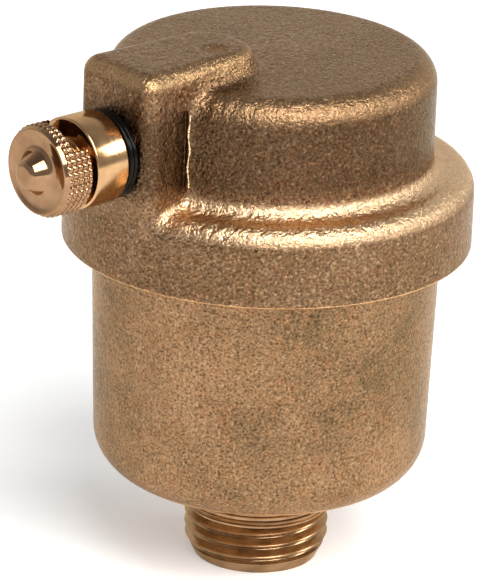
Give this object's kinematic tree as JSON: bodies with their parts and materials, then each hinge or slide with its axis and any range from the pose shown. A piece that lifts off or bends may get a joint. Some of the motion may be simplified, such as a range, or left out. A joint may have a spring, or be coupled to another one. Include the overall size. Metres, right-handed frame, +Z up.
{
  "type": "air release valve",
  "caption": "Automatic air release valve with a forged brass pot, a float inside, a side outlet nozzle and a knurled cap.",
  "frame": {"origin": "centre of the inlet's end face, on the pot's axis", "axes": "+Z up along the pot's axis, the side outlet points along -X"},
  "size_m": [0.075, 0.0586, 0.0805],
  "materials": {
    "forged_brass": "hot-forged and shot-blasted, bare",
    "turned_brass": "turned, bright",
    "stainless": "bright",
    "rubber": "matt",
    "float_plastic": "moulded, satin"
  },
  "bodies": {
    "root": {"body": "forged_brass", "cover": "forged_brass", "body_o_ring": "rubber", "vent_nozzle": "turned_brass", "nozzle_o_ring": "rubber", "valve_seat": "turned_brass", "spring_retainer": "stainless", "closing_spring": "stainless", "lever_pin": "stainless"},
    "float": {"float_shell": "float_plastic", "float_lid": "float_plastic", "float_bail": "stainless"},
    "lever": {"float_lever": "stainless"},
    "obturator": {"obturator": "turned_brass", "obturator_seal": "rubber"},
    "cap_washer": {"cap_seal": "rubber"},
    "cap": {"vent_cap": "turned_brass"}
  },
  "joints": [
    {"name": "float_slide", "type": "slide", "parent": "root", "child": "float", "axis": [0, 0, 1], "range_m": [0, 0.00746]},
    {"name": "lever_swing", "type": "hinge", "parent": "root", "child": "lever", "pos_m": [-0.016, 0, 0.0647], "axis": [0, -1, 0], "range_deg": [0, 25]},
    {"name": "obturator_slide", "type": "slide", "parent": "root", "child": "obturator", "axis": [-1, 0, 0], "range_m": [0, 0.00144], "deforming": ["closing_spring"]},
    {"name": "cap_travel", "type": "slide", "parent": "root", "child": "cap_washer", "axis": [-1, 0, 0], "range_m": [-0.00075, 0.00113]},
    {"name": "cap_turn", "type": "hinge", "parent": "cap_washer", "child": "cap", "pos_m": [-0.03875, 0, 0.0681], "axis": [-1, 0, 0], "range_deg": [-360, 540]}
  ],
  "couplings": [
    {"joint": "lever_swing", "follows": "float_slide", "rad_per_m": 58.48},
    {"joint": "obturator_slide", "follows": "float_slide", "ratio": 0.19259},
    {"joint": "cap_travel", "follows": "cap_turn", "m_per_rad": 0.00011937}
  ]
}
